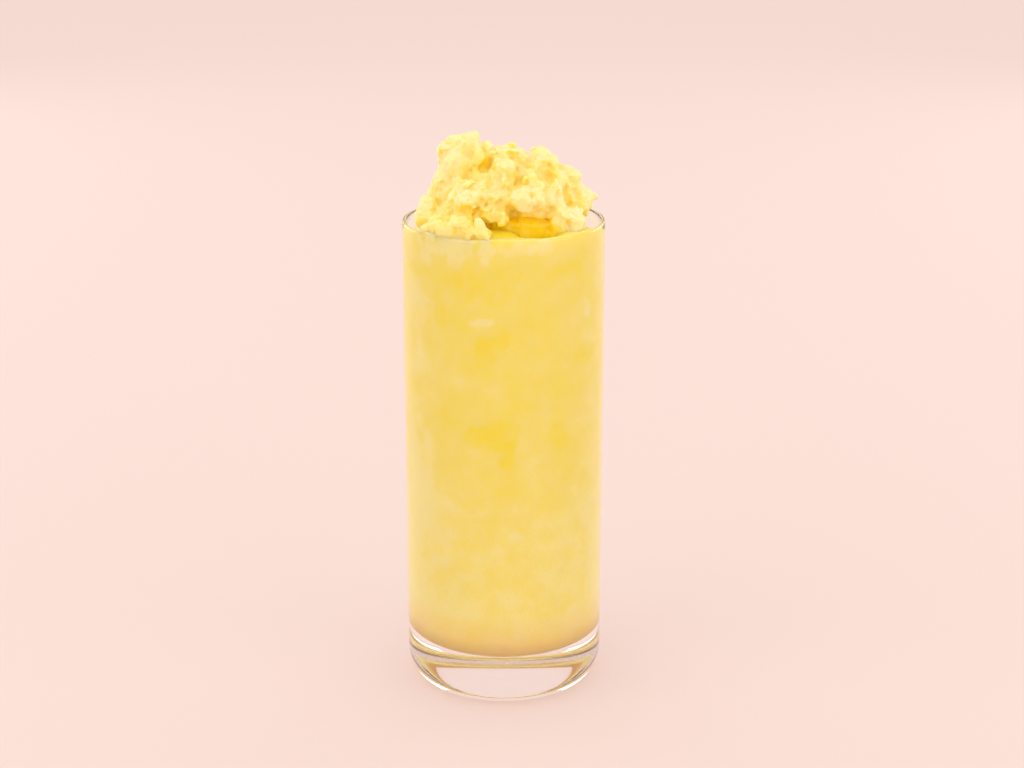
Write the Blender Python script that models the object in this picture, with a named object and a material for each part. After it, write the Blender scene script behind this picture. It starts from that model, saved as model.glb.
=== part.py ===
"""A tall straight glass filled with frozen fruit smoothie, with a craggy heap of slush above its rim.

Units are metres and +Z is up. The origin is at the centre of the foot, on the surface that the glass stands on.
The side that faces -Y is the front.
"""

import math
import random

import bmesh
import bpy
from mathutils import Euler, Vector, noise

MM = 0.001

# Glass: outer size, walls, and the thick foot with its rounded heel and shallow hollow below.
GLASS_RADIUS = 32.5 * MM
GLASS_HEIGHT = 157.0 * MM
RIM_WALL = 1.3 * MM
FOOT_WALL = 2.4 * MM
FOOT_THICKNESS = 16.3 * MM
HEEL_WIDTH = 7.0 * MM
HEEL_HEIGHT = 11.0 * MM
BOWL_CORNER = 8.0 * MM
HOLLOW_RADIUS = 22.0 * MM
HOLLOW_DEPTH = 2.0 * MM
GLASS_SEGMENTS = 72
BOWL_CORNER_STEPS = 6
LIP_STEPS = 3
HEEL_STEPS = 7
HOLLOW_STEPS = 4

# Drink: its level at the sides and the back, how far the middle and the front rise, and a pool in its top.
LEVEL_DROP = 6.5 * MM
LEVEL_RISE = 6.0 * MM
FRONT_BANK_START = 0.5
TOP_RIPPLE = 0.5 * MM
TOP_RIPPLE_SIZE = 7.0 * MM
POOL_PLACE = (10.5 * MM, -19.0 * MM)
POOL_SIZE = (9.0 * MM, 8.0 * MM)
POOL_DEPTH = 2.6 * MM
DRINK_SEGMENTS = 64
DRINK_CORNER_STEPS = 5
DRINK_TOP_RINGS = 10

# Touching solids keep this gap, and edges sharper than this angle are shaded as edges.
GAP = 0.3 * MM
SMOOTH_ANGLE = math.radians(50)

# Heap: lumps as (centre x, centre y, centre above the rim, half width, half depth, half height) in millimetres.
MAIN_LUMPS = {
    "core": (0, 4, 4, 22.5, 19, 13),
    "tower": (-12.6, 1, 12.5, 7.8, 9, 13.5),
    "tower_top": (-12.2, 0, 24.8, 4.2, 3.8, 3.2),
    "tower_knob": (-9.0, 0, 26.2, 1.8, 2.2, 2.2),
    "tower_shoulder": (-16.4, 0, 20.8, 3.6, 5, 3.8),
    "left_flank": (-16.6, 0, 12, 4.8, 8, 7),
    "left_foot": (-21.6, -3, 2.0, 6.2, 9, 5.4),
    "saddle": (-0.5, 2, 13, 7.5, 9, 9.6),
    "wedge": (-0.6, -8, 12.5, 4.4, 5, 8.0),
    "saddle_knob": (5.0, 3, 18.5, 3.4, 4.0, 3.4),
    "right_peak": (11.9, 1, 12, 5.2, 7, 9.8),
    "right_shoulder": (16.8, 1, 9.2, 6.8, 9, 7.6),
    "right_outer": (22.4, 0, 6.4, 6.3, 8, 4.2),
    "brow": (10.5, -10.5, 8.8, 8.5, 8, 5.6),
    "point": (6.6, -18, 9.4, 3.8, 3.8, 3.5),
    "tooth": (-0.2, -17, 4.0, 2.6, 3.5, 2.2),
    "middle_lump": (-1.5, -13, 9.2, 6.8, 6, 3.6),
    "middle_shelf": (-3.5, -14.5, 4.8, 6.2, 5.5, 2.9),
    "left_cheek": (-10, -12, 7.5, 6.5, 7, 6.0),
    "finger": (8.9, -12.0, 14.0, 2.4, 3.2, 4.2),
    "front_left_block": (-12.5, -23.5, -0.2, 5.0, 7.0, 4.8),
    "front_left_lump": (-20, -19, -0.5, 5.8, 7.0, 4.6),
    "front_ridge": (-6.2, -25, -1.5, 3.0, 6.0, 4.8),
    "right_low": (19.5, -12, 1.0, 5.6, 6.5, 5.6),
    "tower_slope": (-6.4, 0, 20.9, 2.8, 3.6, 3.8),
}

# Lumps round the back, in millimetres: half length, distance from the axis, and height above the rim.
BACK_LUMPS = 9
BACK_LUMP_SIZE = (6.0, 9.0)
BACK_LUMP_THICKNESS = 0.8
BACK_REACH = (16.0, 20.0)
BACK_DEPTH = 0.9
BACK_LUMP_HEIGHT = (1.0, 10.0)

# Crumbs: half size in millimetres, the share of it that is sunk, and the steepest underside that has them.
CRUMBS = 150
CRUMB_SIZE = (1.1, 2.4)
CRUMB_STRETCH = (0.7, 1.3)
CRUMB_SINK = 0.45
CRUMB_UNDERSIDE = -0.4

# What all lumps share: their form between a ball and a block, how rough they are, and how far they lean.
HEAP_SEED = 11
MAIN_LEAN = 0.2
FREE_LEAN = 1.5
LUMP_SQUARENESS = 2.7
LUMP_ROUGHNESS = 0.2
LUMP_CRAG_SIZE = 5.0 * MM

# Skin of the heap: the fused lumps are covered by an even skin, billowed into crags, then thinned out.
SKIN_SPACING = 0.8 * MM
CRAGS = ((4.5 * MM, 1.5 * MM), (2.2 * MM, 0.9 * MM))
CRAG_SINK = 0.5 * MM
SKIN_TRIANGLES = 7600


def clear_scene():
    for thing in list(bpy.data.objects):
        bpy.data.objects.remove(thing, do_unlink=True)


def make_material(name, colour, roughness, alpha=1.0):
    material = bpy.data.materials.new(name)
    material.use_nodes = True
    shader = material.node_tree.nodes["Principled BSDF"]
    shader.inputs["Base Color"].default_value = (*colour, 1.0)
    shader.inputs["Roughness"].default_value = roughness
    shader.inputs["Metallic"].default_value = 0.0
    shader.inputs["Alpha"].default_value = alpha
    return material


def add_object(name, mesh, material=None):
    thing = bpy.data.objects.new(name, mesh)
    bpy.context.scene.collection.objects.link(thing)
    if material is not None:
        mesh.materials.append(material)
    return thing


def quarter_turn(centre, width, height, start, steps):
    """Points of a quarter ellipse, from the angle start on by ninety degrees clockwise."""
    points = []
    for step in range(steps + 1):
        angle = start - 0.5 * math.pi * step / steps
        points.append((centre[0] + width * math.cos(angle), centre[1] + height * math.sin(angle)))
    return points


def bowl_radius(height):
    """Inner radius of the glass: the wall thins steadily from the foot to the rim."""
    share = (height - FOOT_THICKNESS) / (GLASS_HEIGHT - FOOT_THICKNESS)
    return GLASS_RADIUS - FOOT_WALL + share * (FOOT_WALL - RIM_WALL)


def bowl_profile(offset, steps):
    """Floor and rounded corner of the bowl from the axis outwards, moved into the bowl by an offset."""
    corner_radius = bowl_radius(FOOT_THICKNESS + BOWL_CORNER)
    centre = (corner_radius - BOWL_CORNER, FOOT_THICKNESS + BOWL_CORNER)
    size = BOWL_CORNER - offset
    points = [(0.0, FOOT_THICKNESS + offset)]
    for step in range(steps + 1):
        angle = 0.5 * math.pi * (step / steps - 1)
        points.append((centre[0] + size * math.cos(angle), centre[1] + size * math.sin(angle)))
    return points


def turned(name, profile, segments, material):
    """A profile of (radius, height) points, turned about the upright axis into a closed solid."""
    build = bmesh.new()
    corners = [build.verts.new((radius, 0.0, height)) for radius, height in profile]
    edges = [build.edges.new(pair) for pair in zip(corners, corners[1:])]
    bmesh.ops.spin(
        build, geom=corners + edges, cent=(0, 0, 0), axis=(0, 0, 1), angle=2 * math.pi, steps=segments
    )
    bmesh.ops.remove_doubles(build, verts=build.verts, dist=0.01 * MM)
    bmesh.ops.recalc_face_normals(build, faces=build.faces)
    mesh = bpy.data.meshes.new(name)
    build.to_mesh(mesh)
    build.free()
    mesh.shade_smooth()
    mesh.set_sharp_from_angle(angle=SMOOTH_ANGLE)
    return add_object(name, mesh, material)


def hollow_profile():
    """The domed hollow under the foot, from its edge to the axis."""
    points = []
    for step in range(HOLLOW_STEPS + 1):
        share = step / HOLLOW_STEPS
        points.append((HOLLOW_RADIUS * (1.0 - share), HOLLOW_DEPTH * math.sin(0.5 * math.pi * share)))
    return points


def glass_profile():
    """Inside of the bowl, over the rim, down the outer wall, round the heel and into the hollow below."""
    half_rim = 0.5 * RIM_WALL
    lip_centre = (GLASS_RADIUS - half_rim, GLASS_HEIGHT - half_rim)
    inside = bowl_profile(0.0, BOWL_CORNER_STEPS)
    lip = quarter_turn(lip_centre, half_rim, half_rim, math.pi, LIP_STEPS)
    lip += quarter_turn(lip_centre, half_rim, half_rim, 0.5 * math.pi, LIP_STEPS)[1:]
    heel_centre = (GLASS_RADIUS - HEEL_WIDTH, HEEL_HEIGHT)
    heel = quarter_turn(heel_centre, HEEL_WIDTH, HEEL_HEIGHT, 0.0, HEEL_STEPS)
    return inside + lip + heel + hollow_profile()


def make_glass():
    material = make_material("clear_glass", (0.93, 0.95, 0.94), 0.03, 0.35)
    return turned("glass", glass_profile(), GLASS_SEGMENTS, material)


def smooth_step(low, high, value):
    share = min(max((value - low) / (high - low), 0.0), 1.0)
    return share * share * (3.0 - 2.0 * share)


def drink_top(x, y):
    """Height of the drink's uneven top: low at the sides and the back, higher in the middle and in front."""
    reach = min(math.hypot(x, y) / GLASS_RADIUS, 1.0)
    in_middle = (1.0 - reach**2) ** 2
    in_front = smooth_step(0.0, FRONT_BANK_START, -y / GLASS_RADIUS)
    in_pool = 1.0 - math.hypot((x - POOL_PLACE[0]) / POOL_SIZE[0], (y - POOL_PLACE[1]) / POOL_SIZE[1])
    height = GLASS_HEIGHT - LEVEL_DROP + LEVEL_RISE * (1.0 - (1.0 - in_middle) * (1.0 - in_front))
    height -= POOL_DEPTH * smooth_step(0.0, 0.6, in_pool)
    return height + TOP_RIPPLE * noise.noise(Vector((x, y, 0.0)) / TOP_RIPPLE_SIZE)


def make_drink():
    """The drink fills the bowl. Its side and its top are rings of one turned solid."""
    material = make_material("frozen_smoothie", (0.94, 0.66, 0.17), 0.45)
    edge_height = GLASS_HEIGHT - LEVEL_DROP
    side = bowl_profile(GAP, DRINK_CORNER_STEPS)
    corner_height = side[-1][1]
    for share in (0.35, 0.7):
        height = corner_height + share * (edge_height - corner_height)
        side.append((bowl_radius(height) - GAP, height))
    edge_radius = bowl_radius(edge_height) - GAP
    top = [(edge_radius * (1 - ring / DRINK_TOP_RINGS), edge_height) for ring in range(DRINK_TOP_RINGS + 1)]
    drink = turned("smoothie", side + top, DRINK_SEGMENTS, material)
    for vertex in drink.data.vertices:
        if vertex.co.z > edge_height - MM:
            vertex.co.z = drink_top(vertex.co.x, vertex.co.y)
    return drink


def rounded_block(build, centre, half_sizes, detail, turn):
    """A lump between a ball and a block, with its surface broken up by a noise that all lumps share."""
    made = bmesh.ops.create_icosphere(build, subdivisions=detail, radius=1.0)["verts"]
    for vertex in made:
        way = vertex.co.normalized()
        bulge = sum(abs(part) ** LUMP_SQUARENESS for part in way) ** (-1 / LUMP_SQUARENESS)
        point = Vector([part * bulge * half for part, half in zip(way, half_sizes)])
        point.rotate(turn)
        place = centre + point
        crag = noise.noise(place / LUMP_CRAG_SIZE)
        vertex.co = centre + point * (1.0 + LUMP_ROUGHNESS * crag)


def lump_object(name, centre, half_sizes, detail, turn, holder):
    build = bmesh.new()
    rounded_block(build, centre, half_sizes, detail, turn)
    bmesh.ops.recalc_face_normals(build, faces=build.faces)
    mesh = bpy.data.meshes.new(name)
    build.to_mesh(mesh)
    build.free()
    thing = bpy.data.objects.new(name, mesh)
    holder.objects.link(thing)
    return thing


def random_turn(draw, most):
    return Euler([draw.uniform(-most, most) for _ in range(3)])


def main_lumps(draw, holder):
    for name, row in MAIN_LUMPS.items():
        centre = Vector((row[0] * MM, row[1] * MM, GLASS_HEIGHT + row[2] * MM))
        half_sizes = [size * MM for size in row[3:]]
        lump_object(name, centre, half_sizes, 3, random_turn(draw, MAIN_LEAN), holder)


def back_lumps(draw, holder):
    """The side that can't be seen in front is broken up by lumps of like size, spread round the back."""
    for index in range(BACK_LUMPS):
        angle = math.pi * (index + 0.5) / BACK_LUMPS
        size = draw.uniform(*BACK_LUMP_SIZE) * MM
        out = draw.uniform(*BACK_REACH) * MM
        height = GLASS_HEIGHT + draw.uniform(*BACK_LUMP_HEIGHT) * MM
        centre = Vector((out * math.cos(angle), BACK_DEPTH * out * math.sin(angle), height))
        half_sizes = [size, BACK_LUMP_THICKNESS * size, BACK_LUMP_THICKNESS * size]
        lump_object(f"back_lump_{index}", centre, half_sizes, 2, random_turn(draw, FREE_LEAN), holder)


def crumbs(draw, skin, holder):
    """Small crumbs are sunk in the skin of the fused lumps, spread evenly over its sides and tops."""
    open_faces = [face for face in skin.polygons if face.normal.z > CRUMB_UNDERSIDE]
    spots = draw.choices(open_faces, weights=[face.area for face in open_faces], k=CRUMBS)
    for index, face in enumerate(spots):
        size = draw.uniform(*CRUMB_SIZE) * MM
        sizes = [size * draw.uniform(*CRUMB_STRETCH) for _ in range(3)]
        spot = face.center - face.normal * CRUMB_SINK * size
        lump_object(f"crumb_{index}", spot, sizes, 2, random_turn(draw, FREE_LEAN), holder)


def evaluated_mesh(thing):
    """The mesh that an object's modifiers make, which then takes their place."""
    bpy.context.view_layer.update()
    graph = bpy.context.evaluated_depsgraph_get()
    mesh = bpy.data.meshes.new_from_object(thing.evaluated_get(graph))
    thing.modifiers.clear()
    thing.data = mesh


def fuse(thing, holder):
    """Joins a collection's objects to a thing, and removes them."""
    modifier = thing.modifiers.new("fused_lumps", "BOOLEAN")
    modifier.operation = "UNION"
    modifier.solver = "MANIFOLD"
    modifier.operand_type = "COLLECTION"
    modifier.collection = holder
    evaluated_mesh(thing)
    for piece in list(holder.objects):
        bpy.data.objects.remove(piece, do_unlink=True)


def keep_main_shell(mesh):
    """Keeps the largest connected shell, which drops loose scraps and fills hollows that fusing sealed."""
    build = bmesh.new()
    build.from_mesh(mesh)
    unseen = set(build.faces)
    shells = []
    while unseen:
        front = [unseen.pop()]
        shell = []
        while front:
            face = front.pop()
            shell.append(face)
            for edge in face.edges:
                for neighbour in edge.link_faces:
                    if neighbour in unseen:
                        unseen.remove(neighbour)
                        front.append(neighbour)
        shells.append(shell)
    shells.sort(key=len)
    loose = [face for shell in shells[:-1] for face in shell]
    bmesh.ops.delete(build, geom=loose, context="FACES")
    bmesh.ops.triangulate(build, faces=build.faces)
    build.to_mesh(mesh)
    build.free()


def even_skin(thing):
    modifier = thing.modifiers.new("even_skin", "REMESH")
    modifier.mode = "VOXEL"
    modifier.voxel_size = SKIN_SPACING
    evaluated_mesh(thing)


def billow(mesh):
    """Pushes the skin out into rounded crags with sharp creases between them."""
    moves = []
    for vertex in mesh.vertices:
        push = -CRAG_SINK
        for size, depth in CRAGS:
            push += depth * abs(noise.noise(vertex.co / size))
        moves.append(vertex.normal * push)
    for vertex, move in zip(mesh.vertices, moves):
        vertex.co += move
    mesh.update()


def thin_out(thing):
    thing.data.calc_loop_triangles()
    modifier = thing.modifiers.new("thinned_skin", "DECIMATE")
    modifier.ratio = SKIN_TRIANGLES / len(thing.data.loop_triangles)
    evaluated_mesh(thing)


def heap_room():
    """The room that the heap may take: inside the bowl's wall, and above the drink's top."""
    room_radius = bowl_radius(GLASS_HEIGHT - LEVEL_DROP) - GAP
    ceiling = GLASS_HEIGHT + 2 * GLASS_RADIUS
    profile = [(room_radius * ring / DRINK_TOP_RINGS, 0.0) for ring in range(DRINK_TOP_RINGS + 1)]
    profile += [(room_radius, ceiling), (0.0, ceiling)]
    room = turned("heap_room", profile, DRINK_SEGMENTS, None)
    for vertex in room.data.vertices:
        if vertex.co.z < MM:
            vertex.co.z = drink_top(vertex.co.x, vertex.co.y) + GAP
    return room


def trim_to_room(thing):
    room = heap_room()
    modifier = thing.modifiers.new("room", "BOOLEAN")
    modifier.operation = "INTERSECT"
    modifier.solver = "EXACT"
    modifier.object = room
    evaluated_mesh(thing)
    bpy.data.objects.remove(room, do_unlink=True)


def make_heap():
    draw = random.Random(HEAP_SEED)
    holder = bpy.data.collections.new("heap_lumps")
    bpy.context.scene.collection.children.link(holder)
    main_lumps(draw, holder)
    back_lumps(draw, holder)
    heap = bpy.data.objects["core"]
    holder.objects.unlink(heap)
    bpy.context.scene.collection.objects.link(heap)
    heap.name = "slush_mound"
    fuse(heap, holder)
    crumbs(draw, heap.data, holder)
    fuse(heap, holder)
    bpy.data.collections.remove(holder)
    keep_main_shell(heap.data)
    even_skin(heap)
    billow(heap.data)
    thin_out(heap)
    trim_to_room(heap)
    keep_main_shell(heap.data)
    heap.data.materials.clear()
    heap.data.materials.append(make_material("frozen_slush", (0.97, 0.75, 0.20), 0.5))
    heap.data.shade_smooth()
    heap.data.set_sharp_from_angle(angle=SMOOTH_ANGLE)
    return heap


def build_model():
    clear_scene()
    make_glass()
    make_drink()
    make_heap()


build_model()
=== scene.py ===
"""Looks of a frozen fruit smoothie in a tall straight glass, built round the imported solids.

Units are metres and +Z is up. The side that faces -Y is the front. The glass, the drink and the heap of
slush are each replaced by a finer mesh of the same form.
"""

import math
import random

import bmesh
import bpy
from mathutils import Euler, Matrix, Vector, noise
from mathutils.bvhtree import BVHTree


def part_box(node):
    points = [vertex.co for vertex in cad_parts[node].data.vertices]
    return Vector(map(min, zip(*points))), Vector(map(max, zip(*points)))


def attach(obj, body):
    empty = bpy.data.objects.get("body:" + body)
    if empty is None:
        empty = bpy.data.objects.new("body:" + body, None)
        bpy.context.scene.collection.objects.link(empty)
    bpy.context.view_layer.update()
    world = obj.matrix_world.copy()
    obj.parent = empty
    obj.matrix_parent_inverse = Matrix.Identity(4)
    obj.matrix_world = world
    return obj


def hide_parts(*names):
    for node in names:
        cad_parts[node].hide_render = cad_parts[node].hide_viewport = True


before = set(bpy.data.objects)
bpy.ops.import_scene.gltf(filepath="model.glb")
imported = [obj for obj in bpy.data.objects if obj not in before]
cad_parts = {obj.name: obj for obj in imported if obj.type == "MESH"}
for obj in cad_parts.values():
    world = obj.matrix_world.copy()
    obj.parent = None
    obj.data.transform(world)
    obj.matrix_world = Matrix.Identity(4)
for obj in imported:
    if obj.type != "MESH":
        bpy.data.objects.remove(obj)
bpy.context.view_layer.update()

MM = 0.001
BODY = "root"

# Glass: the outer size comes from the frame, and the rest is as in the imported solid.
GLASS_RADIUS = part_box("glass")[1].x
GLASS_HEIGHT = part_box("glass")[1].z
RIM_WALL = 1.3 * MM
FOOT_WALL = 2.4 * MM
FOOT_THICKNESS = 16.3 * MM
HEEL_WIDTH = 7.0 * MM
HEEL_HEIGHT = 11.0 * MM
BOWL_CORNER = 8.0 * MM
HOLLOW_RADIUS = 22.0 * MM
HOLLOW_DEPTH = 2.0 * MM
GLASS_SEGMENTS = 256
WALL_SPACING = 2.5 * MM
BOWL_CORNER_STEPS = 32
LIP_STEPS = 8
HEEL_STEPS = 40
HOLLOW_STEPS = 8

# Drink: its level at the sides and the back, how far the middle and the front rise, a pool in its top,
# and how far it and the heap reach into the wall, so that no gap shows. Its top is all that is no deeper
# below the rim than the top's depth, and off the wall by the margin.
LEVEL_DROP = 6.5 * MM
LEVEL_RISE = 6.0 * MM
FRONT_BANK_START = 0.5
TOP_RIPPLE = 0.5 * MM
TOP_RIPPLE_SIZE = 7.0 * MM
POOL_PLACE = (10.5 * MM, -19.0 * MM)
POOL_SIZE = (9.0 * MM, 8.0 * MM)
POOL_DEPTH = 2.6 * MM
POOL_FULL = 0.6
TOP_LIFT = 0.4 * MM
STRETCH = 20.0 * MM
INTO_WALL = 0.15 * MM
HEAP_INTO_WALL = 0.1 * MM
DRINK_SEGMENTS = 300
DRINK_SPACING = 0.7 * MM
DRINK_FLOOR_SPACING = 2.0 * DRINK_SPACING
DRINK_CORNER_STEPS = 14
TOP_MARGIN = 0.1 * MM
TOP_DEPTH = 2.0 * LEVEL_DROP
WALL_MARGIN = 1.0 * MM

# Film of slush that clings to the wall: its height and how much that varies, how near the rim it may
# come, how far in it reaches, and how far behind the axis it starts, as a share of the glass's radius.
CLING_HEIGHT = 3.4 * MM
CLING_MEAN = 0.8
CLING_SPREAD = 0.5
CLING_BELOW_RIM = 0.7 * MM
CLING_SIZE = 5.0 * MM
CLING_WIDTH = 2.4 * MM
CLING_FROM = -0.4

# Heap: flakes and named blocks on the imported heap's form, under one even skin that is chipped and
# pitted. A flake's length, width and thickness are shares of its size, and give its half sizes.
HEAP_SEED = 12
FLAKES = 260
FLAKE_SIZE = (1.0 * MM, 2.4 * MM)
FLAKE_LENGTH = (0.8, 1.5)
FLAKE_WIDTH = (0.6, 1.1)
FLAKE_THICKNESS = (0.2, 0.35)
FLAKE_TILT = 0.3
FLAKE_SQUARENESS = (4.0, 10.0)
FLAKE_SINK = 0.3
FLAKE_ROOM = 0.35 * MM
FLAKE_LEAST_OPEN = 0.4
FLAKE_STEEPEST = -0.5
FLAKE_BELOW_TOP = 3.0 * MM
WELD_REACH = 0.001 * MM
BALL_ROUNDS = 2
HEAP_SPACING = 0.4 * MM
MELT_FACTOR = 0.5
MELT_ROUNDS = 3
PRESS_REACH = 2.8 * MM
PRESS_FULL = 1.3 * MM

# Chips in the skin, as (size, step from chip to chip, slope), how far they are drawn up, what spreads
# them over the random cells, how much smoother the cavity is, and the finest grain.
CHIPS = ((7.0 * MM, 0.3 * MM, 0.10), (3.4 * MM, 0.25 * MM, 0.14), (1.6 * MM, 0.17 * MM, 0.15))
CHIP_UPRIGHT = 0.6
CHIP_DRAW = 7.3
CHIP_MELT_ROUNDS = 2
CAVITY_SMOOTH = 0.3
GRAIN_SIZE = 0.8 * MM
GRAIN_DEPTH = 0.1 * MM

# What lies on the drink is sunk in it: how deep, and the height over which it is drawn down.
HEAP_SUNK = 0.8 * MM
SINK_REACH = 1.4 * MM
SINK_FULL = 0.5 * SINK_REACH

# Blocks that stand out in front, as (right of the axis, above the rim, half width, half height,
# clockwise lean in degrees). The first two say where the camera sees the block in the upright plane
# through the axis. Millimetres.
BLOCKS = {
    "ledge_left": (-10.4, 7.4, 2.7, 1.5, 0),
    "ledge_middle": (-4.9, 7.2, 3.0, 1.4, -6),
    "ledge_right": (1.0, 7.6, 2.6, 1.5, 8),
    "wedge_tip": (6.4, 5.6, 3.3, 3.3, 40),
    "brow_block": (13.8, 5.3, 2.9, 1.7, -10),
    "cavity_tooth": (-0.2, 0.6, 2.5, 1.7, 35),
    "finger": (9.2, 12.9, 1.2, 2.1, 5),
    "front_block": (-13.9, -1.7, 2.8, 2.3, 0),
    "front_ridge": (-6.6, -4.4, 1.7, 5.0, -22),
    "left_lump": (-24.8, -3.7, 2.4, 2.2, 0),
    "left_low_lump": (-19.8, -5.3, 2.0, 2.9, 0),
    "right_lump": (21.5, -1.2, 1.8, 2.4, 10),
    "saddle_face": (0.2, 15.0, 3.2, 4.4, 12),
    "tower_face": (-14.6, 17.0, 3.6, 5.0, 0),
    "tower_flank": (-7.6, 17.2, 2.4, 5.4, -8),
    "tower_step": (-5.6, 23.0, 1.6, 2.2, 0),
    "right_slope": (21.5, 12.8, 2.4, 2.8, 20),
    "front_gap": (-10.4, -5.0, 2.6, 2.6, 0),
}
BLOCK_SINK = 0.75
BLOCK_SQUARENESS = 4.0
BLOCK_TILT = 0.3

# Juicy slush at the back of the cavity, as (centre from the axis and the rim, half sizes). Millimetres.
CAVITY_FILL = (6.5, -13.0, -0.8, 10.5, 4.2, 4.4)
CAVITY_FILL_SQUARENESS = 5.0

# Pits and creases, as (right of the axis, above the rim, half width, half height, depth), placed as the
# blocks are. Then the share of the depth that is dug, how far a pit reaches from front to back, how
# ragged its edge is, and how much wider it is dug and searched for, because its edge fades.
PITS = {
    "tower_crease": (-3.7, 18.2, 0.9, 2.6, 1.6),
    "saddle_hole": (5.0, 17.1, 1.9, 2.2, 2.4),
    "peak_hole": (14.2, 14.7, 1.1, 1.8, 1.5),
    "flank_pit": (-22.1, 8.9, 1.4, 1.4, 1.2),
    "tower_foot_pit": (-14.0, 9.8, 1.5, 1.7, 1.6),
    "crevice_under_ledge": (-1.9, 4.4, 4.9, 1.3, 1.6),
    "left_crevice": (-12.0, 2.1, 4.8, 1.3, 1.8),
    "left_small_pit": (-21.4, 2.6, 1.0, 1.0, 1.1),
    "left_low_pit": (-17.7, -0.8, 1.2, 1.3, 1.2),
    "right_hollow": (25.0, -3.7, 2.2, 1.1, 1.6),
}
PIT_DEPTH = 0.6
PIT_REACH = 3.0 * MM
PIT_RAGGED = 1.2
PIT_RAGGED_SIZE = 1.6 * MM
PIT_WIDEN = 1.6
PIT_SEARCH = 2.0

# Spots with more juice (below zero) or more frost (above it) in the heap and the drink's top, as
# (centre, half sizes, strength); some of the juice is painted shade. The centre is from the axis and the
# rim. Millimetres. A spot fades over its edge, in half sizes from its centre.
SPOTS = {
    # juice in the hollow under the brow, partly painted shade: its saturated colour stands for the hollow's
    # shade
    "cavity": (7.5, -15.5, -0.5, 12.5, 11.5, 5.0, -1.0),
    "front_bank": (-15.0, -24.0, 1.0, 16.0, 10.0, 6.0, -0.3),
    # painted shade: the tower's right face, left in shade by the light from the left, is painted juicier
    "tower_right_face_shade": (-7.4, 0.0, 16.0, 4.0, 12.0, 8.0, -0.2),
    "right_slush": (21.0, -14.0, 1.0, 7.0, 10.0, 5.0, 0.15),
}
SPOT_EDGE = (1.2, 0.6)

# How open to the light a place is: the rays that it sends out, how many millimetres above the surface
# they start, how far they look, and the least that one has to rise from the surface.
RAYS = 44
RAY_START = 0.05
RAY_REACH = 14.0 * MM
RAY_LEAST_RISE = 0.05

# Frost and painted shade in the open air: how the frost follows from openness, so that crevices which light
# hardly reaches are painted juicier as shade, its clouds as (size, share), and the least of it.
OPEN_GAIN = 1.1
OPEN_OFFSET = -0.1
OPEN_CLOUDS = ((7.0 * MM, 1.0), (2.6 * MM, 0.5))
OPEN_CLOUD_SHARE = 0.2
LEAST_SHADED_FROST = 0.25

# Patches of juice (below zero) and of frost (above it) on the drink's side, as (degrees round from the
# front, height above the floor, half width in degrees, half height, strength). Heights in millimetres. The
# pale patches at the left edge are a painted reflection.
PATCHES = {
    "cross_left": (-13, 93.5, 10, 3.0, -0.6),
    "cross_middle": (-2.5, 94, 11, 4.5, -0.7),
    "cross_stem": (2, 87, 5, 5.5, -0.7),
    "right_patch": (33, 92.5, 8, 4.0, -0.6),
    "top_band": (-9, 144, 15, 5.5, -0.4),
    "middle_patch": (-11, 122, 6, 4.5, -0.8),
    "middle_speck": (0, 125.5, 3.5, 3.0, -0.6),
    "upper_left": (-57, 145, 11, 2.5, -0.5),
    "left_spot": (-38, 132, 4, 3.5, -0.5),
    "left_top": (-29, 144, 6, 2.5, -0.4),
    "small_spot": (-19, 137.7, 3, 2.0, -0.4),
    "right_edge": (57, 117.5, 13, 3.0, -0.5),
    "right_top": (37, 146.5, 13, 2.0, -0.5),
    "pale_fleck": (-11, 131, 8, 1.3, 0.7),
    "pale_right": (56, 132, 4, 2.5, 0.6),
    "pale_low": (7, 60, 3.5, 1.5, 0.45),
    # painted reflection: the pale band along the left edge, where the glass reflects bright surroundings
    "left_edge_reflection_high": (-55, 132, 10, 8.0, 0.3),
    "left_edge_reflection": (-57, 115, 10, 6.0, 0.3),
    "left_edge_reflection_low": (-58, 75, 14, 17.0, 0.35),
    "ridge_pit": (-15, 154.3, 2.2, 1.6, -1.0),
    "pale_ridge": (-10, 154.0, 4, 5.0, 1.0),
    "pale_bank": (-33, 156.0, 26, 4.5, 0.8),
    "pale_drip": (-27, 151.0, 5, 3.5, 0.6),
    "pale_low_drip": (-45, 150.0, 7, 3.5, 0.6),
    "pale_shelf": (5, 154.5, 12, 2.0, 0.5),
    "smear": (21, 155.5, 8, 3.2, 0.7),
}
PATCH_STRENGTH = 0.75
PATCH_REACH = 1.2
PATCH_EDGE = (-0.8, 1.6)

# Frost of the drink's side: its mean, its clouds and the raggedness of its patches as (size, share), how
# much paler it is low down, how much a painted reflection makes it paler at the sides as seen from the
# front, and between which heights and degrees that grows.
MEAN_FROST = 0.5
CLOUDS = ((13.0 * MM, 0.2), (6.0 * MM, 0.2), (3.0 * MM, 0.11), (1.5 * MM, 0.07))
RAGGED = ((3.1 * MM, 1.3), (1.3 * MM, 0.7))
PALE_BELOW = 0.3
PALE_HEIGHTS = (0.75 * GLASS_HEIGHT, 0.2 * GLASS_HEIGHT)
SIDE_REFLECTION = 0.2
SIDE_REFLECTION_DEGREES = (40.0, 75.0)

# Colours of the slush, in even steps from juicy to frosty. The juicy end also paints shade in crevices,
# and the frosty end the reflection at the drink's sides.
HEAP_COLOURS = ((1.0, 0.67, 0.001), (0.95, 0.765, 0.13), (0.95, 0.775, 0.235), (0.94, 0.795, 0.38))
DRINK_COLOURS = ((0.945, 0.765, 0.04), (0.94, 0.78, 0.10), (0.94, 0.79, 0.20), (0.955, 0.825, 0.34))
SLUSH_ROUGHNESS = (0.3, 0.55)

# Icy grain in the slush's colour: its size, and how strong it is at a low and at a high place.
ICE_SIZE = 0.7 * MM
GRAIN_HEIGHTS = (40.0 * MM, 100.0 * MM)
GRAIN_SHARES = (0.9, 0.4)

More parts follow.
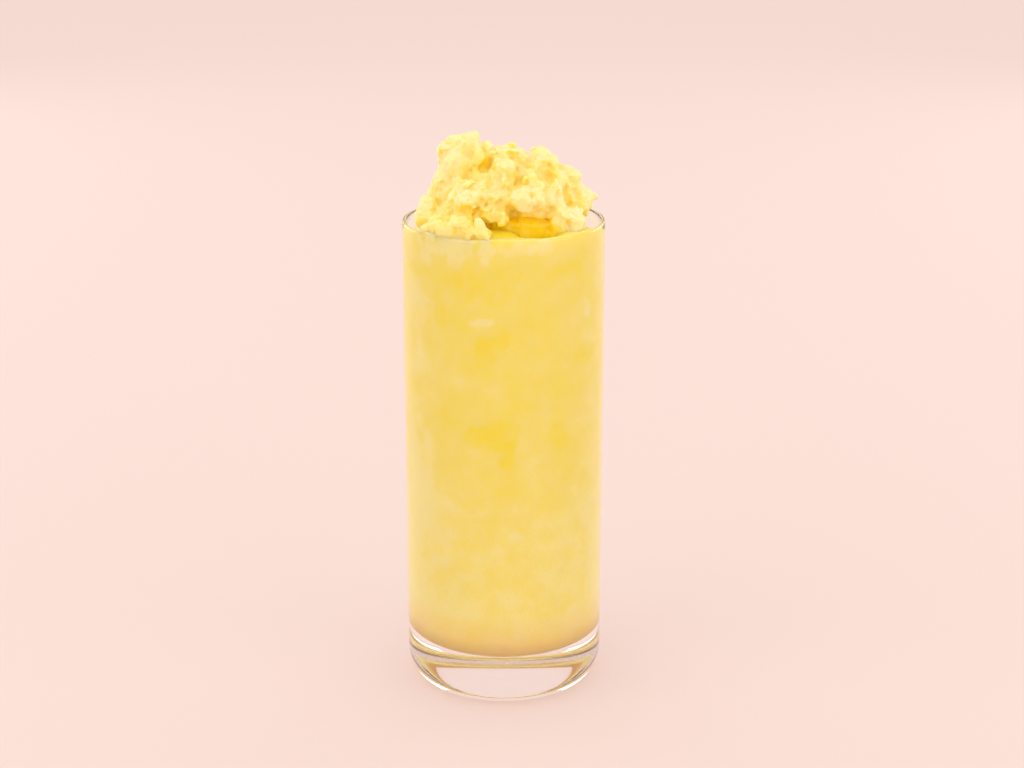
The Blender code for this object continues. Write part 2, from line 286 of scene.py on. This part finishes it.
# Painted glow deep down: the drink turns warmer towards its bottom, which stands for the gold glow of light
# through its underside. The colour at its bottom, how far up that reaches, and how strong it is.
UNDERSIDE_GLOW_COLOUR = (0.93, 0.60, 0.21)
UNDERSIDE_GLOW_REACH = 16.0 * MM
UNDERSIDE_GLOW_SHARE = 0.8

# Camera: the view that the photograph has of the glass.
CAMERA_PLACE = (2.67 * MM, -623.8 * MM, 297.4 * MM)
CAMERA_DIP = math.radians(17.428)
CAMERA_LENS = 70.08
CAMERA_SENSOR = 36.0

# Studio: the floor, the room's colours as (place on its ramp, colour), and the lamps as (place, width
# and height, power in watts).
FLOOR_HALF = 4.0
ROOM_COLOURS = ((0.65, (0.84, 0.66, 0.61)), (0.72, (1.0, 0.98, 0.97)))
ROOM_STRENGTH = 1.1
LAMPS = {
    "key": ((-1.2, -0.8, 0.9), (1.6, 1.6), 7.3),
    "fill": ((1.1, -0.75, 0.4), (1.4, 1.4), 6.1),
    "back_left": ((-0.95, 0.9, 0.4), (0.8, 0.5), 2.2),
    "back_right": ((0.95, 0.9, 0.4), (0.8, 0.5), 2.2),
}
LAMP_AIM = (0.0, 0.0, 0.1)
LAMP_COLOUR = (0.97, 1.0, 1.0)


def smooth_step(low, high, value):
    """Share from 0 at low to 1 at high, with soft ends. The value called low may be the larger."""
    share = min(max((value - low) / (high - low), 0.0), 1.0)
    return share * share * (3.0 - 2.0 * share)


def bowl_radius(height):
    """Inner radius of the glass: the wall thins steadily from the foot to the rim."""
    share = (height - FOOT_THICKNESS) / (GLASS_HEIGHT - FOOT_THICKNESS)
    return GLASS_RADIUS - FOOT_WALL + share * (FOOT_WALL - RIM_WALL)


def bowl_profile(offset, steps):
    """Floor and rounded corner of the bowl from the axis outwards, moved into the bowl by an offset."""
    corner_radius = bowl_radius(FOOT_THICKNESS + BOWL_CORNER)
    centre = (corner_radius - BOWL_CORNER, FOOT_THICKNESS + BOWL_CORNER)
    size = BOWL_CORNER - offset
    points = [(0.0, FOOT_THICKNESS + offset)]
    for step in range(steps + 1):
        angle = 0.5 * math.pi * (step / steps - 1)
        points.append((centre[0] + size * math.cos(angle), centre[1] + size * math.sin(angle)))
    return points


def quarter_turn(centre, width, height, start, steps):
    """Points of a quarter ellipse, from the angle start on by ninety degrees clockwise."""
    points = []
    for step in range(steps + 1):
        angle = start - 0.5 * math.pi * step / steps
        points.append((centre[0] + width * math.cos(angle), centre[1] + height * math.sin(angle)))
    return points


def in_steps(start, end, spacing):
    """Points from start up to end, without end, at about the given spacing."""
    count = max(1, round(math.dist(start, end) / spacing))
    return [tuple(a + (b - a) * step / count for a, b in zip(start, end)) for step in range(count)]


def turned(name, profile, segments):
    """A profile of (radius, height) points turned about the axis, on which its first and last points lie."""
    points = [(0.0, 0.0, profile[0][1])]
    for radius, height in profile[1:-1]:
        for step in range(segments):
            angle = 2.0 * math.pi * step / segments
            points.append((radius * math.cos(angle), radius * math.sin(angle), height))
    points.append((0.0, 0.0, profile[-1][1]))
    last = len(points) - 1
    rings = len(profile) - 2
    faces = []
    for step in range(segments):
        after = (step + 1) % segments
        faces.append((0, 1 + after, 1 + step))
        for ring in range(rings - 1):
            low = 1 + ring * segments
            high = low + segments
            faces.append((low + step, low + after, high + after, high + step))
        top = 1 + (rings - 1) * segments
        faces.append((last, top + step, top + after))
    mesh = bpy.data.meshes.new(name)
    mesh.from_pydata(points, [], faces)
    mesh.shade_smooth()
    return mesh


def add_piece(name, mesh, material, node):
    """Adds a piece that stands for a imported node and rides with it."""
    piece = bpy.data.objects.new(name, mesh)
    bpy.context.scene.collection.objects.link(piece)
    mesh.materials.append(material)
    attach(piece, BODY)
    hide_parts(node)
    return piece


def new_material(name):
    material = bpy.data.materials.new(name)
    material.use_nodes = True
    return material, material.node_tree.nodes, material.node_tree.links


def glass_material():
    """Clear glass that lets lamps through to what it holds."""
    material, nodes, links = new_material("clear_glass")
    shader = nodes["Principled BSDF"]
    shader.inputs["Base Color"].default_value = (0.992, 0.984, 0.974, 1.0)
    shader.inputs["Roughness"].default_value = 0.0
    shader.inputs["IOR"].default_value = 1.5
    shader.inputs["Transmission Weight"].default_value = 1.0
    clear = nodes.new("ShaderNodeBsdfTransparent")
    clear.inputs["Color"].default_value = (0.965, 0.96, 0.955, 1.0)
    path = nodes.new("ShaderNodeLightPath")
    mix = nodes.new("ShaderNodeMixShader")
    links.new(path.outputs["Is Shadow Ray"], mix.inputs["Fac"])
    links.new(shader.outputs["BSDF"], mix.inputs[1])
    links.new(clear.outputs["BSDF"], mix.inputs[2])
    links.new(mix.outputs["Shader"], nodes["Material Output"].inputs["Surface"])
    return material


def glass_profile():
    """Inside of the bowl, over the rim, down the outer wall, round the heel and into the hollow below."""
    half_rim = 0.5 * RIM_WALL
    lip_centre = (GLASS_RADIUS - half_rim, GLASS_HEIGHT - half_rim)
    inside = bowl_profile(0.0, BOWL_CORNER_STEPS)
    lip = quarter_turn(lip_centre, half_rim, half_rim, math.pi, LIP_STEPS)
    lip += quarter_turn(lip_centre, half_rim, half_rim, 0.5 * math.pi, LIP_STEPS)[1:]
    heel = quarter_turn((GLASS_RADIUS - HEEL_WIDTH, HEEL_HEIGHT), HEEL_WIDTH, HEEL_HEIGHT, 0.0, HEEL_STEPS)
    inner_wall = in_steps(inside[-1], lip[0], WALL_SPACING)
    outer_wall = in_steps(lip[-1], heel[0], WALL_SPACING)
    hollow = []
    for step in range(HOLLOW_STEPS + 1):
        share = step / HOLLOW_STEPS
        hollow.append((HOLLOW_RADIUS * (1.0 - share), HOLLOW_DEPTH * math.sin(0.5 * math.pi * share)))
    return inside[:-1] + inner_wall + lip[:-1] + outer_wall + heel + hollow


def make_glass():
    mesh = turned("glass_body", glass_profile()[::-1], GLASS_SEGMENTS)
    return add_piece("glass_body", mesh, glass_material(), "glass")


def drink_top(x, y):
    """Height of the drink's uneven top: low at the sides and the back, higher in the middle and in front."""
    reach = min(math.hypot(x, y) / GLASS_RADIUS, 1.0)
    in_middle = (1.0 - reach**2) ** 2
    in_front = smooth_step(0.0, FRONT_BANK_START, -y / GLASS_RADIUS)
    in_pool = 1.0 - math.hypot((x - POOL_PLACE[0]) / POOL_SIZE[0], (y - POOL_PLACE[1]) / POOL_SIZE[1])
    height = GLASS_HEIGHT - LEVEL_DROP + LEVEL_RISE * (1.0 - (1.0 - in_middle) * (1.0 - in_front))
    height -= POOL_DEPTH * smooth_step(0.0, POOL_FULL, in_pool)
    return height + TOP_RIPPLE * noise.noise(Vector((x, y, 0.0)) / TOP_RIPPLE_SIZE)


def mapped(material, value, before, after):
    """The value with the range before mapped onto the range after, each as (low, high)."""
    node = material.node_tree.nodes.new("ShaderNodeMapRange")
    node.inputs["From Min"].default_value = before[0]
    node.inputs["From Max"].default_value = before[1]
    node.inputs["To Min"].default_value = after[0]
    node.inputs["To Max"].default_value = after[1]
    material.node_tree.links.new(value, node.inputs["Value"])
    return node.outputs["Result"]


def combined(material, operation, first, second):
    """Two changing values put together by one calculation."""
    node = material.node_tree.nodes.new("ShaderNodeMath")
    node.operation = operation
    material.node_tree.links.new(first, node.inputs[0])
    material.node_tree.links.new(second, node.inputs[1])
    return node.outputs["Value"]


def icy_grain(material, place):
    grain = material.node_tree.nodes.new("ShaderNodeTexNoise")
    grain.inputs["Scale"].default_value = 1.0 / ICE_SIZE
    grain.inputs["Detail"].default_value = 4.0
    grain.inputs["Roughness"].default_value = 0.65
    material.node_tree.links.new(place, grain.inputs["Vector"])
    return grain.outputs["Fac"]


def grained_frost_and_painted_light(material, grain, height):
    """The mesh's frost and painted light, broken up by the icy grain, which is stronger low down."""
    frost_and_painted_light = material.node_tree.nodes.new("ShaderNodeAttribute")
    frost_and_painted_light.attribute_name = "frost_and_painted_light"
    centred = material.node_tree.nodes.new("ShaderNodeMath")
    centred.operation = "SUBTRACT"
    centred.inputs[1].default_value = 0.5
    material.node_tree.links.new(grain, centred.inputs[0])
    share = mapped(material, height, GRAIN_HEIGHTS, GRAIN_SHARES)
    spread = combined(material, "MULTIPLY", centred.outputs["Value"], share)
    return combined(material, "ADD", frost_and_painted_light.outputs["Fac"], spread)


def slush_colour(material, frost_and_painted_light, height, colours):
    """Colour that runs from juicy to frosty with the frost and its painted shade and reflection, and turns
    to a painted glow deep down.
    """
    nodes = material.node_tree.nodes
    links = material.node_tree.links
    ramp = nodes.new("ShaderNodeValToRGB")
    elements = ramp.color_ramp.elements
    while len(elements) < len(colours):
        elements.new(0.5)
    for index, colour in enumerate(colours):
        elements[index].position = index / (len(colours) - 1)
        elements[index].color = (*colour, 1.0)
    links.new(frost_and_painted_light, ramp.inputs["Fac"])
    # painted glow: towards the bottom the colour turns to the underside's glow
    glow = nodes.new("ShaderNodeMixRGB")
    glow.inputs["Color2"].default_value = (*UNDERSIDE_GLOW_COLOUR, 1.0)
    glow_share = mapped(material, height, (FOOT_THICKNESS, FOOT_THICKNESS + UNDERSIDE_GLOW_REACH), (UNDERSIDE_GLOW_SHARE, 0.0))
    links.new(glow_share, glow.inputs["Fac"])
    links.new(ramp.outputs["Color"], glow.inputs["Color1"])
    return glow.outputs["Color"]


def slush_material(name, colours):
    """Moist frozen slush with an icy grain, wetter where it is juicy; its colour carries painted shade,
    reflection and glow.
    """
    material, nodes, links = new_material(name)
    shader = nodes["Principled BSDF"]
    shader.inputs["Subsurface Weight"].default_value = 0.8
    shader.inputs["Subsurface Scale"].default_value = 3.5 * MM
    shader.inputs["Subsurface Radius"].default_value = (1.0, 0.85, 0.25)
    place = nodes.new("ShaderNodeTexCoord")
    split = nodes.new("ShaderNodeSeparateXYZ")
    links.new(place.outputs["Object"], split.inputs["Vector"])
    height = split.outputs["Z"]
    grain = icy_grain(material, place.outputs["Object"])
    frost_and_painted_light = grained_frost_and_painted_light(material, grain, height)
    links.new(slush_colour(material, frost_and_painted_light, height, colours), shader.inputs["Base Color"])
    links.new(mapped(material, frost_and_painted_light, (0.0, 1.0), SLUSH_ROUGHNESS), shader.inputs["Roughness"])
    ice = nodes.new("ShaderNodeBump")
    ice.inputs["Strength"].default_value = 0.35
    ice.inputs["Distance"].default_value = 0.15 * MM
    links.new(grain, ice.inputs["Height"])
    links.new(ice.outputs["Normal"], shader.inputs["Normal"])
    return material


def set_frost_and_painted_light(mesh, values):
    """Stores how frosty each vertex is, with painted light: 0 where juice or painted shade shows, 1 on pale
    icy slush or a painted reflection.
    """
    frost_and_painted_light = mesh.attributes.new("frost_and_painted_light", "FLOAT", "POINT")
    frost_and_painted_light.data.foreach_set("value", values)


def even_rays(count):
    """Directions spread evenly over a ball."""
    golden = math.pi * (3.0 - math.sqrt(5.0))
    rays = []
    for index in range(count):
        height = 1.0 - (2.0 * index + 1.0) / count
        out = math.sqrt(1.0 - height * height)
        rays.append(Vector((out * math.cos(golden * index), out * math.sin(golden * index), height)))
    return rays


def openness(tree, place, normal, rays):
    """Share of the light from all round a place that nothing near it shades."""
    start = place + normal * RAY_START * MM
    total = 0.0
    free = 0.0
    for ray in rays:
        weight = ray.dot(normal)
        if weight > RAY_LEAST_RISE:
            total += weight
            if tree.ray_cast(start, ray, RAY_REACH)[0] is None:
                free += weight
    return free / total


def spot_share(place, spot):
    """How far a place is inside a named spot: 1 in its middle, and 0 outside it."""
    off = place / MM - Vector((spot[0], spot[1], GLASS_HEIGHT / MM + spot[2]))
    return smooth_step(*SPOT_EDGE, math.hypot(off.x / spot[3], off.y / spot[4], off.z / spot[5]))


def cloudy(place, clouds):
    """Sum of soft noise at several sizes, each as (size, share)."""
    return sum(share * noise.noise(place / size) for size, share in clouds)


def open_frost_and_shade(place, normal, tree, rays):
    """Frost of slush in the open air, with painted shade: pale where light reaches it, juicier in crevices
    as painted shade, and juicier in named spots.
    """
    clouds = OPEN_CLOUD_SHARE * cloudy(place, OPEN_CLOUDS)
    # painted shade: the less open to the light a place is, the juicier and darker its colour
    frost_and_painted_light = max(OPEN_GAIN * openness(tree, place, normal, rays) + OPEN_OFFSET + clouds, LEAST_SHADED_FROST)
    return frost_and_painted_light + sum(spot[-1] * spot_share(place, spot) for spot in SPOTS.values())


def is_on_top(place):
    """Whether a place of the drink is on its top and off the wall."""
    is_high = place.z > GLASS_HEIGHT - TOP_DEPTH
    return is_high and math.hypot(place.x, place.y) < bowl_radius(place.z) - WALL_MARGIN


def drink_frost_and_painted_light(place, tree, rays):
    """Frost of the drink: clouds, paler below, paler at the sides by a painted reflection, and the named
    patches with ragged edges.
    """
    if is_on_top(place):
        return open_frost_and_shade(place, Vector((0.0, 0.0, 1.0)), tree, rays)
    ragged = cloudy(place, RAGGED)
    frost_and_painted_light = MEAN_FROST + cloudy(place, CLOUDS)
    angle = math.degrees(math.atan2(place.x, -place.y))
    frost_and_painted_light += PALE_BELOW * smooth_step(*PALE_HEIGHTS, place.z)
    # painted reflection: paler towards the sides as seen from the front
    frost_and_painted_light += SIDE_REFLECTION * smooth_step(*SIDE_REFLECTION_DEGREES, abs(angle))
    height = place.z / MM
    for at_angle, at_height, half_angle, half_height, strength in PATCHES.values():
        across = (angle - at_angle) / half_angle
        along = (height - at_height) / half_height
        inside = PATCH_REACH - across * across - along * along + ragged
        frost_and_painted_light += PATCH_STRENGTH * strength * smooth_step(*PATCH_EDGE, inside)
    return frost_and_painted_light


def cling_top(place, level):
    """Height to which a thin film of slush clings to the wall at the sides, above the drink's level."""
    in_front = smooth_step(CLING_FROM, 0.0, -place.y / GLASS_RADIUS)
    share = (CLING_MEAN + CLING_SPREAD * noise.noise(place / CLING_SIZE)) * in_front
    return max(level, min(level + share * CLING_HEIGHT, GLASS_HEIGHT - CLING_BELOW_RIM))


def drink_profile(edge):
    """The drink's floor, rounded corner, wall up to the edge, and level top, from the axis out and back."""
    profile = bowl_profile(-INTO_WALL, DRINK_CORNER_STEPS)
    floor = in_steps(profile[0], profile[1], DRINK_FLOOR_SPACING)
    corner = profile[1:-1]
    wall = in_steps(profile[-1], edge, DRINK_SPACING)
    top = in_steps(edge, (0.0, edge[1]), DRINK_SPACING)
    return floor + corner + wall + top + [(0.0, edge[1])]


def shape_top(mesh, edge):
    """Moves the level top to the drink's uneven one, and stretches the wall below it to meet it."""
    edge_radius, edge_height = edge
    stretch_from = edge_height - STRETCH
    for vertex in mesh.vertices:
        level = drink_top(vertex.co.x, vertex.co.y) + TOP_LIFT
        if vertex.co.z > edge_height - TOP_MARGIN:
            reach = math.hypot(vertex.co.x, vertex.co.y)
            near_wall = smooth_step(edge_radius - CLING_WIDTH, edge_radius, reach)
            vertex.co.z = level + near_wall * (cling_top(vertex.co, level) - level)
        elif vertex.co.z > stretch_from:
            share = (vertex.co.z - stretch_from) / STRETCH
            vertex.co.z = stretch_from + share * (level - stretch_from)


def tree_of(mesh):
    """Search tree of a mesh's faces, for rays."""
    return BVHTree.FromPolygons([v.co for v in mesh.vertices], [p.vertices for p in mesh.polygons])


def make_drink(heap):
    edge_height = GLASS_HEIGHT - LEVEL_DROP
    edge = (bowl_radius(edge_height) + INTO_WALL, edge_height)
    mesh = turned("smoothie_body", drink_profile(edge), DRINK_SEGMENTS)
    shape_top(mesh, edge)
    tree = tree_of(heap.data)
    rays = even_rays(RAYS)
    set_frost_and_painted_light(mesh, [drink_frost_and_painted_light(vertex.co, tree, rays) for vertex in mesh.vertices])
    material = slush_material("frozen_smoothie", DRINK_COLOURS)
    return add_piece("smoothie_body", mesh, material, "smoothie")


def heap_core():
    """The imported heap's form, a little slimmer, as points and faces."""
    build = bmesh.new()
    build.from_mesh(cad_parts["slush_mound"].data)
    bmesh.ops.remove_doubles(build, verts=build.verts, dist=WELD_REACH)
    build.normal_update()
    points = [vertex.co - vertex.normal * FLAKE_ROOM for vertex in build.verts]
    faces = [[vertex.index for vertex in face.verts] for face in build.faces]
    build.free()
    return points, faces


def ball_points():
    """Directions and faces of a coarse ball."""
    build = bmesh.new()
    bmesh.ops.create_icosphere(build, subdivisions=BALL_ROUNDS, radius=1.0)
    ways = [vertex.co.copy() for vertex in build.verts]
    faces = [[vertex.index for vertex in face.verts] for face in build.faces]
    build.free()
    return ways, faces


def block_points(ways, centre, half_sizes, squareness, turn):
    """Points of an angular block: a ball drawn out towards a block, stretched, and turned."""
    points = []
    for way in ways:
        bulge = sum(abs(part) ** squareness for part in way) ** (-1.0 / squareness)
        points.append(centre + turn @ Vector([part * bulge * half for part, half in zip(way, half_sizes)]))
    return points


def seen_on(tree, right, above):
    """Where the camera sees a place of the plane through the axis on the heap, and the way it looks."""
    start = Vector(CAMERA_PLACE)
    way = (Vector((right * MM, 0.0, GLASS_HEIGHT + above * MM)) - start).normalized()
    return tree.ray_cast(start, way)[0], way


def flake_spots(points, faces, tree):
    """Middles of the core's faces as (centre, normal), and how likely each is to get a flake."""
    core = bpy.data.meshes.new("heap_core")
    core.from_pydata(points, [], faces)
    highest = max(point.z for point in points) - FLAKE_BELOW_TOP
    rays = even_rays(RAYS)
    spots = []
    weights = []
    for face in core.polygons:
        centre = face.center.copy()
        normal = face.normal.copy()
        is_open = openness(tree, centre, normal, rays) > FLAKE_LEAST_OPEN
        spots.append((centre, normal))
        weights.append(face.area if is_open and normal.z > FLAKE_STEEPEST and centre.z < highest else 0.0)
    bpy.data.meshes.remove(core)
    return spots, weights


def flake_shell(draw, ways, centre, normal):
    """A thin angular flake that lies on the core, a little tilted and partly sunk."""
    size = draw.uniform(*FLAKE_SIZE)
    half_sizes = [size * draw.uniform(*part) for part in (FLAKE_LENGTH, FLAKE_WIDTH, FLAKE_THICKNESS)]
    spin = Euler((draw.uniform(-FLAKE_TILT, FLAKE_TILT), draw.uniform(-FLAKE_TILT, FLAKE_TILT), 0.0))
    spin.rotate_axis("Z", draw.uniform(-math.pi, math.pi))
    turn = normal.to_track_quat("Z", "Y").to_matrix() @ spin.to_matrix()
    squareness = draw.uniform(*FLAKE_SQUARENESS)
    sunk = centre - normal * FLAKE_SINK * half_sizes[2]
    return block_points(ways, sunk, half_sizes, squareness, turn)


def block_shell(draw, ways, tree, block):
    """A named block, partly sunk in the core where the camera sees its place."""
    right, above, half_width, half_height, lean = block
    centre, way = seen_on(tree, right, above)
    half_depth = min(half_width, half_height) * MM
    half_sizes = (half_width * MM, half_depth, half_height * MM)
    tilts = [draw.uniform(-BLOCK_TILT, BLOCK_TILT) for _ in range(2)]
    turn = Euler((tilts[0], math.radians(lean), tilts[1])).to_matrix()
    return block_points(ways, centre + way * BLOCK_SINK * half_depth, half_sizes, BLOCK_SQUARENESS, turn)


def cavity_shell(ways):
    centre = Vector((0.0, 0.0, GLASS_HEIGHT)) + Vector(CAVITY_FILL[:3]) * MM
    half_sizes = [size * MM for size in CAVITY_FILL[3:]]
    return block_points(ways, centre, half_sizes, CAVITY_FILL_SQUARENESS, Matrix.Identity(3))


def heap_with_flakes():
    """The slimmer heap, the scattered flakes and the named blocks, as overlapping shells of one mesh."""
    draw = random.Random(HEAP_SEED)
    points, faces = heap_core()
    tree = BVHTree.FromPolygons(points, faces)
    spots, weights = flake_spots(points, faces, tree)
    ways, ball = ball_points()
    chosen = draw.choices(spots, weights=weights, k=FLAKES)
    shells = [flake_shell(draw, ways, centre, normal) for centre, normal in chosen]
    shells += [block_shell(draw, ways, tree, block) for block in BLOCKS.values()]
    shells.append(cavity_shell(ways))
    for shell in shells:
        first = len(points)
        points += shell
        faces += [[first + corner for corner in face] for face in ball]
    mesh = bpy.data.meshes.new("slush_heap")
    mesh.from_pydata(points, [], faces)
    return mesh


def even_skin(mesh):
    """The outer skin of a mesh of overlapping shells, in even steps."""
    thing = bpy.data.objects.new("skin_maker", mesh)
    bpy.context.scene.collection.objects.link(thing)
    remesh = thing.modifiers.new("even_skin", "REMESH")
    remesh.mode = "VOXEL"
    remesh.voxel_size = HEAP_SPACING
    melt = thing.modifiers.new("melt", "SMOOTH")
    melt.factor = MELT_FACTOR
    melt.iterations = MELT_ROUNDS
    bpy.context.view_layer.update()
    skin = bpy.data.meshes.new_from_object(thing.evaluated_get(bpy.context.evaluated_depsgraph_get()))
    bpy.data.objects.remove(thing, do_unlink=True)
    bpy.data.meshes.remove(mesh)
    skin.name = "slush_heap"
    return skin


def chip_push(place):
    """How far the skin is pushed out at a place: chips of ice, each with a height and a slope of its own."""
    drawn_up = Vector((place.x, place.y, CHIP_UPRIGHT * place.z))
    push = GRAIN_DEPTH * noise.noise(place / GRAIN_SIZE)
    for size, step, slope in CHIPS:
        chip = noise.voronoi(drawn_up / size)[1][0]
        slant = 2.0 * noise.cell_vector(CHIP_DRAW * chip) - Vector((1.0, 1.0, 1.0))
        push += step * noise.cell(CHIP_DRAW * chip) + slope * slant.dot(drawn_up - size * chip)
    return push


def chip_skin(mesh):
    """Breaks the skin up into chips whose edges have begun to melt. The juice in the cavity is smoother."""
    build = bmesh.new()
    build.from_mesh(mesh)
    build.normal_update()
    places = []
    for vertex in build.verts:
        dry = 1.0 - CAVITY_SMOOTH * spot_share(vertex.co, SPOTS["cavity"])
        places.append(vertex.co + vertex.normal * dry * chip_push(vertex.co))
    for vertex, place in zip(build.verts, places):
        vertex.co = place
    for _ in range(CHIP_MELT_ROUNDS):
        bmesh.ops.smooth_vert(
            build, verts=build.verts, factor=MELT_FACTOR, use_axis_x=True, use_axis_y=True, use_axis_z=True
        )
    build.to_mesh(mesh)
    build.free()


def settled(place, top):
    """Where a point of the heap goes once the heap is sunk in the drink and kept under its highest point."""
    level = drink_top(place.x, place.y)
    share = smooth_step(level + SINK_REACH, level + SINK_FULL, place.z)
    height = place.z + share * (level - HEAP_SUNK - place.z)
    return Vector((place.x, place.y, min(height, top)))


def pressed(place):
    """Where a point of the heap goes when what is next to the wall is pressed flat against the glass."""
    below_rim = smooth_step(GLASS_HEIGHT, GLASS_HEIGHT - RIM_WALL, place.z)
    most = bowl_radius(place.z) + HEAP_INTO_WALL
    reach = math.hypot(place.x, place.y)
    share = below_rim * smooth_step(most - PRESS_REACH, most - PRESS_FULL, reach)
    goal = min(reach + share * (most - reach), most)
    return Vector((place.x * goal / reach, place.y * goal / reach, place.z))


def pit_push(place, centre, half_width, half_height):
    """Share of a pit's depth at a place: full at the pit's centre, and none at its edge."""
    off = place - centre
    reach = (off.x / half_width) ** 2 + (off.z / half_height) ** 2 + (off.y / PIT_REACH) ** 2
    reach *= 1.0 + PIT_RAGGED * noise.noise(place / PIT_RAGGED_SIZE)
    return max(0.0, 1.0 - reach)


def dig_pits(places, mesh):
    """Presses the named pits into the heap, away from the camera that they were read from."""
    tree = BVHTree.FromPolygons(places, [face.vertices for face in mesh.polygons])
    for right, above, half_width, half_height, depth in PITS.values():
        centre, way = seen_on(tree, right, above)
        for index, place in enumerate(places):
            if abs(place.z - centre.z) < PIT_SEARCH * half_height * MM:
                share = pit_push(place, centre, PIT_WIDEN * half_width * MM, PIT_WIDEN * half_height * MM)
                places[index] = place + way * share * PIT_DEPTH * depth * MM


def make_heap():
    mesh = even_skin(heap_with_flakes())
    chip_skin(mesh)
    places = [vertex.co.copy() for vertex in mesh.vertices]
    dig_pits(places, mesh)
    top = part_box("slush_mound")[1].z
    for vertex, place in zip(mesh.vertices, places):
        vertex.co = pressed(settled(place, top))
    mesh.shade_smooth()
    mesh.update()
    tree = tree_of(mesh)
    rays = even_rays(RAYS)
    # painted shade from openness, stored with the frost
    set_frost_and_painted_light(mesh, [open_frost_and_shade(vertex.co, vertex.normal, tree, rays) for vertex in mesh.vertices])
    mesh.materials.clear()
    material = slush_material("frozen_slush", HEAP_COLOURS)
    return add_piece("slush_heap", mesh, material, "slush_mound")


def add_lamp(name, place, size, power):
    """A soft rectangular lamp that points at the glass."""
    light = bpy.data.lights.new(name, "AREA")
    light.shape = "RECTANGLE"
    light.size = size[0]
    light.size_y = size[1]
    light.energy = power
    light.color = LAMP_COLOUR
    lamp = bpy.data.objects.new(name, light)
    lamp.location = place
    lamp.rotation_euler = (Vector(LAMP_AIM) - Vector(place)).to_track_quat("-Z", "Y").to_euler()
    bpy.context.scene.collection.objects.link(lamp)


def make_floor():
    """A plain pale floor with a faint glow, which keeps the glass's foot light."""
    mesh = bpy.data.meshes.new("floor")
    corners = [(x * FLOOR_HALF, y * FLOOR_HALF, 0.0) for x, y in ((-1, -1), (1, -1), (1, 1), (-1, 1))]
    mesh.from_pydata(corners, [], [(0, 1, 2, 3)])
    floor = bpy.data.objects.new("floor", mesh)
    bpy.context.scene.collection.objects.link(floor)
    material, nodes, _ = new_material("pale_floor")
    shader = nodes["Principled BSDF"]
    shader.inputs["Base Color"].default_value = (0.42, 0.345, 0.32, 1.0)
    shader.inputs["Roughness"].default_value = 0.8
    shader.inputs["Emission Color"].default_value = (0.86, 0.67, 0.61, 1.0)
    shader.inputs["Emission Strength"].default_value = 0.5
    mesh.materials.append(material)


def make_room():
    """A pale room that is pinker low down."""
    world = bpy.data.worlds.new("pale_room")
    world.use_nodes = True
    nodes = world.node_tree.nodes
    links = world.node_tree.links
    place = nodes.new("ShaderNodeTexCoord")
    split = nodes.new("ShaderNodeSeparateXYZ")
    ramp = nodes.new("ShaderNodeValToRGB")
    for element, (position, colour) in zip(ramp.color_ramp.elements, ROOM_COLOURS):
        element.position = position
        element.color = (*colour, 1.0)
    links.new(place.outputs["Generated"], split.inputs["Vector"])
    links.new(split.outputs["Z"], ramp.inputs["Fac"])
    links.new(ramp.outputs["Color"], nodes["Background"].inputs["Color"])
    nodes["Background"].inputs["Strength"].default_value = ROOM_STRENGTH
    bpy.context.scene.world = world


def make_light():
    make_room()
    for name, (place, size, power) in LAMPS.items():
        add_lamp(name, place, size, power)
    bpy.context.scene.view_settings.view_transform = "Standard"


def make_camera():
    camera = bpy.data.objects.new("camera", bpy.data.cameras.new("camera"))
    camera.data.lens = CAMERA_LENS
    camera.data.sensor_width = CAMERA_SENSOR
    camera.location = CAMERA_PLACE
    camera.rotation_euler = (0.5 * math.pi - CAMERA_DIP, 0.0, 0.0)
    bpy.context.scene.collection.objects.link(camera)
    bpy.context.scene.camera = camera


make_camera()
make_glass()
make_drink(make_heap())
make_floor()
make_light()
